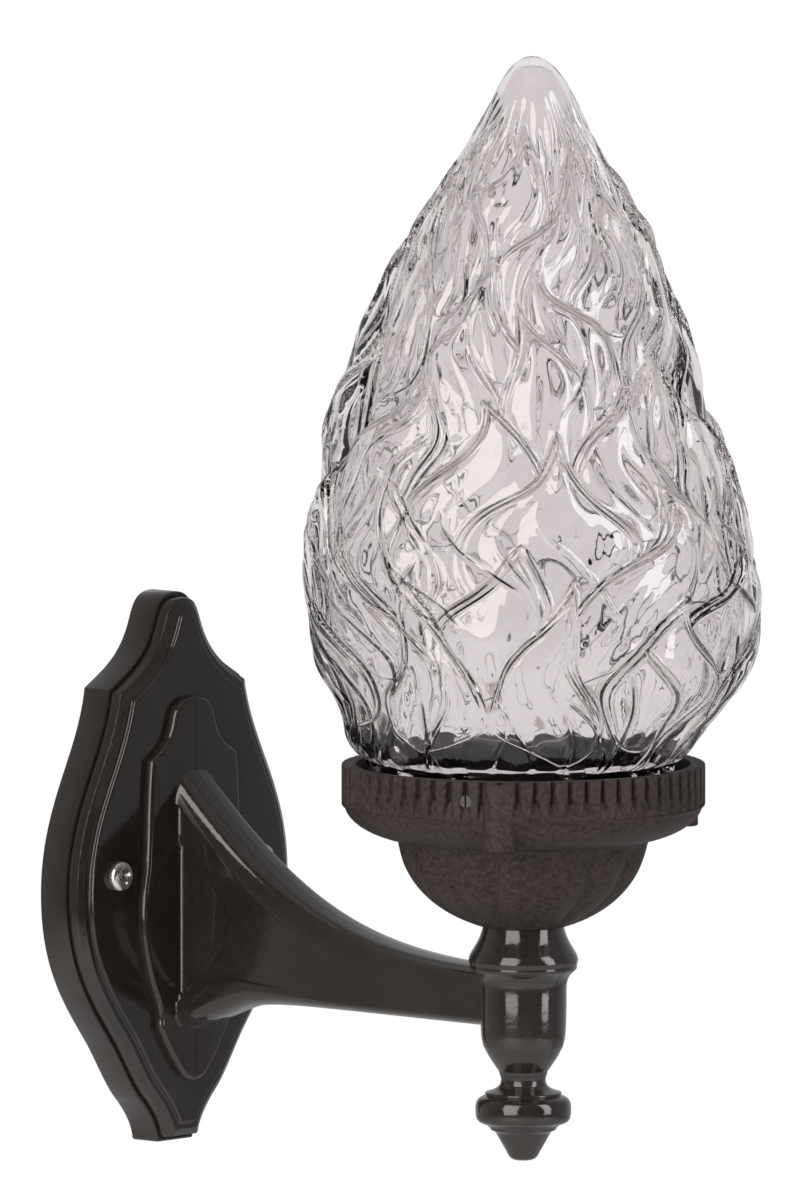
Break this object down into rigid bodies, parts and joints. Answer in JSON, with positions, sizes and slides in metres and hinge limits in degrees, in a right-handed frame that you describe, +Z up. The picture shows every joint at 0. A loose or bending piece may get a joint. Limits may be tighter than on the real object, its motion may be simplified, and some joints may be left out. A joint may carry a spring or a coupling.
{
  "type": "torch wall sconce",
  "caption": "Torch-style wall light: a stepped shaped plate, a hollow swept arm, a turned post with a finial, and a fluted cup that holds a flame-shaped clear glass globe.",
  "frame": {"origin": "on the wall, at the middle of the plate's back and of the strap's slots", "axes": "+Y into the wall, so the arm reaches towards -Y; +Z up, along the globe's axis; +X across the plate"},
  "size_m": [0.1508, 0.2416, 0.3683],
  "materials": {
    "gloss_black": "glossy, brown-black",
    "textured_black": "fine matt texture",
    "clear_glass": "clear, flame relief",
    "zinc_steel": "zinc plated",
    "dark_steel": "dark plated",
    "black_rubber": "matt",
    "cream_plastic": "moulded",
    "black_plastic": "moulded",
    "porcelain": "glazed",
    "brass": "bare",
    "brown_insulation": "smooth",
    "blue_insulation": "smooth"
  },
  "bodies": {
    "bracket": {"wall_plate": "gloss_black", "wall_strap": "zinc_steel", "cable_grommet": "black_rubber", "plate_screws": "zinc_steel", "terminal_block": "cream_plastic", "terminal_screws": "zinc_steel", "block_screw": "zinc_steel", "arm_left": "gloss_black", "arm_right": "gloss_black", "foot_screws": "zinc_steel", "threaded_tube": "zinc_steel", "finial": "gloss_black", "cup": "textured_black", "tube_washer": "zinc_steel", "tube_nut": "zinc_steel", "globe_gasket": "black_rubber", "lampholder_cap": "black_plastic", "lampholder_insert": "porcelain", "lampholder_sleeve": "black_plastic", "thread_shell": "brass", "centre_contact": "brass", "wire_live": "brown_insulation", "wire_neutral": "blue_insulation"},
    "glass": {"globe": "clear_glass", "globe_neck": "clear_glass"},
    "screw_a": {"set_screw_a": "dark_steel"},
    "screw_b": {"set_screw_b": "dark_steel"},
    "screw_c": {"set_screw_c": "dark_steel"}
  },
  "joints": [
    {"name": "globe_lift", "type": "slide", "parent": "bracket", "child": "glass", "axis": [0, 0, 1], "range_m": [0, 0.1]},
    {"name": "set_screw_a_turn_out", "type": "slide", "parent": "bracket", "child": "screw_a", "axis": [-0.9239, -0.3827, 0], "range_m": [0, 0.005]},
    {"name": "set_screw_b_turn_out", "type": "slide", "parent": "bracket", "child": "screw_b", "axis": [0.7934, -0.6088, 0], "range_m": [0, 0.005]},
    {"name": "set_screw_c_turn_out", "type": "slide", "parent": "bracket", "child": "screw_c", "axis": [0.1305, 0.9914, 0], "range_m": [0, 0.005]}
  ]
}
